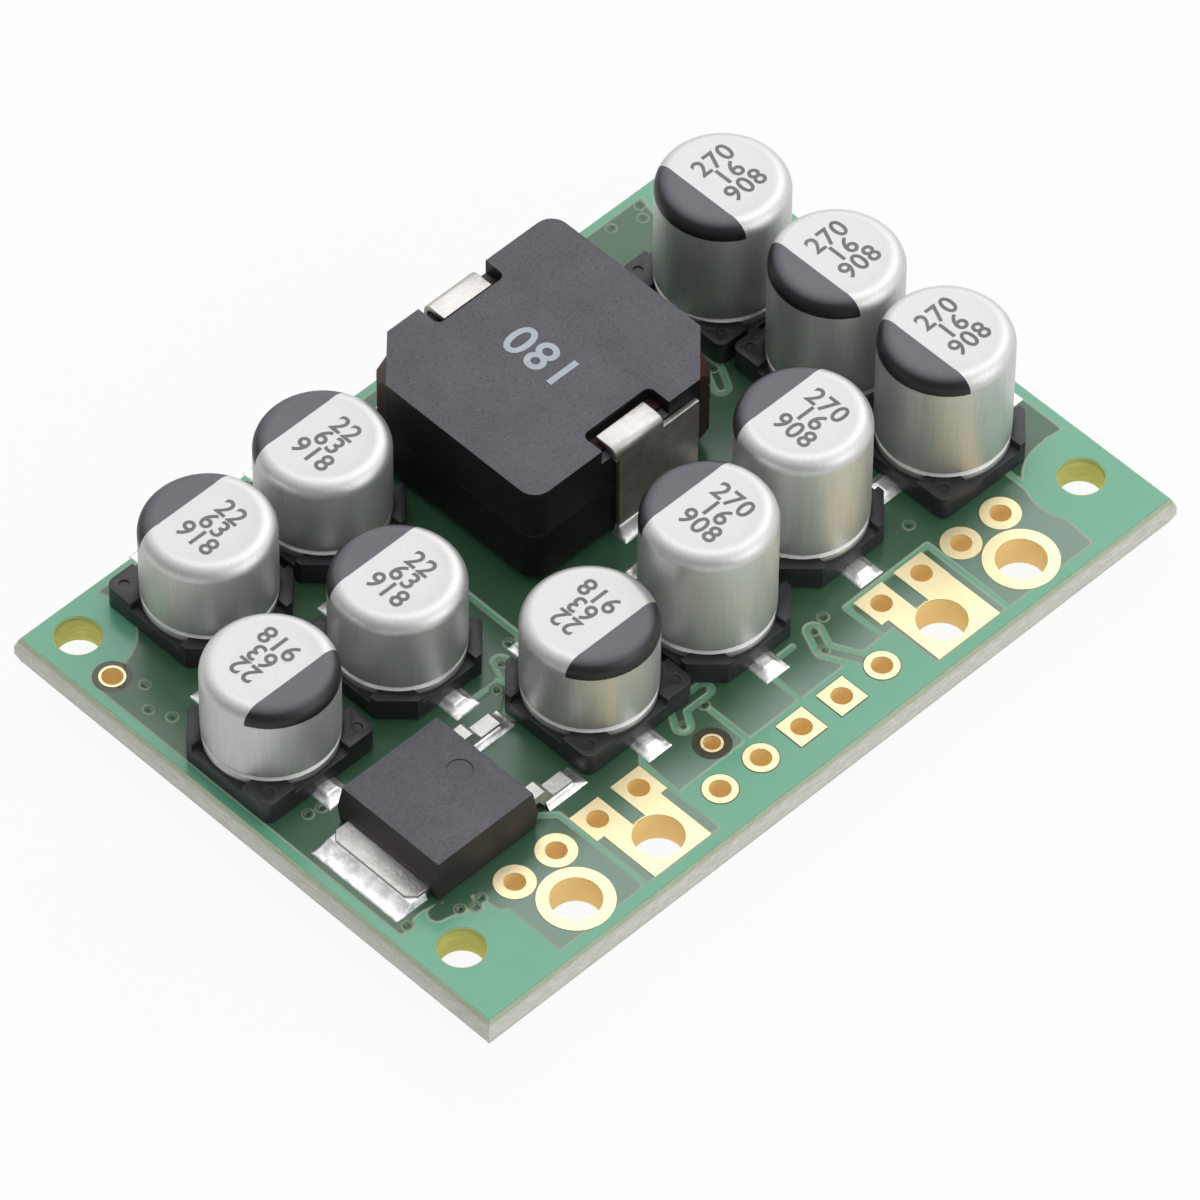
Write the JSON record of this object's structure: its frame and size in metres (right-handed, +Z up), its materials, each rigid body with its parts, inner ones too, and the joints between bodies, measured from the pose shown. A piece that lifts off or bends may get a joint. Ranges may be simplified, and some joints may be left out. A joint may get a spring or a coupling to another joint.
{
  "type": "buck converter module",
  "caption": "Step-down power converter board with can capacitors, a power inductor and plated holes for wires, pins and terminal blocks.",
  "frame": {"origin": "under the middle of the board, in the plane of the faces that the module stands on", "axes": "+X along the long edge, from the input end to the output end; +Y from the row of holes to the back edge; +Z up, out of the board's top"},
  "size_m": [0.0432, 0.0304, 0.0104],
  "materials": {
    "board_mask": "green solder mask over glass-fibre board, satin gloss, grey-beige scored edge",
    "gold_plate": "thin gold finish on copper, satin",
    "can": "satin drawn aluminium with a dark grey printed segment on the top",
    "base": "black moulded plastic, satin",
    "tin": "tinned lead, bright",
    "solder": "bright solder",
    "core": "pressed core, dark grey fine-grained top and black sides",
    "wire": "red-brown enamel on flat copper wire",
    "package": "black moulding compound, matt",
    "sink": "tinned copper, satin",
    "ceramic_chip": "brown fired ceramic",
    "chip_film": "black film on ceramic"
  },
  "bodies": {
    "root": {"circuit_board": "board_mask", "ground_pads": "gold_plate", "input_pad": "gold_plate", "output_pad": "gold_plate", "header_pads": "gold_plate", "probe_pads": "gold_plate", "short_can_1": "can", "short_can_2": "can", "short_can_3": "can", "short_can_4": "can", "short_can_5": "can", "short_base_1": "base", "short_base_2": "base", "short_base_3": "base", "short_base_4": "base", "short_base_5": "base", "short_leads_1": "tin", "short_leads_2": "tin", "short_leads_3": "tin", "short_leads_4": "tin", "short_leads_5": "tin", "tall_can_1": "can", "tall_can_2": "can", "tall_can_3": "can", "tall_can_4": "can", "tall_can_5": "can", "tall_base_1": "base", "tall_base_2": "base", "tall_base_3": "base", "tall_base_4": "base", "tall_base_5": "base", "tall_leads_1": "tin", "tall_leads_2": "tin", "tall_leads_3": "tin", "tall_leads_4": "tin", "tall_leads_5": "tin", "capacitor_solder": "solder", "inductor_solder": "solder", "transistor_solder": "solder", "core_lower": "core", "core_upper": "core", "winding": "wire", "front_terminal": "tin", "back_terminal": "tin", "transistor_body": "package", "transistor_tab": "sink", "transistor_leads": "sink", "controller": "package", "switch_bodies": "package", "controller_pins": "tin", "switch_legs": "tin", "ceramic_ends": "tin", "chip_ends": "tin", "ceramic_bodies": "ceramic_chip", "chip_bodies": "chip_film"}
  },
  "joints": []
}
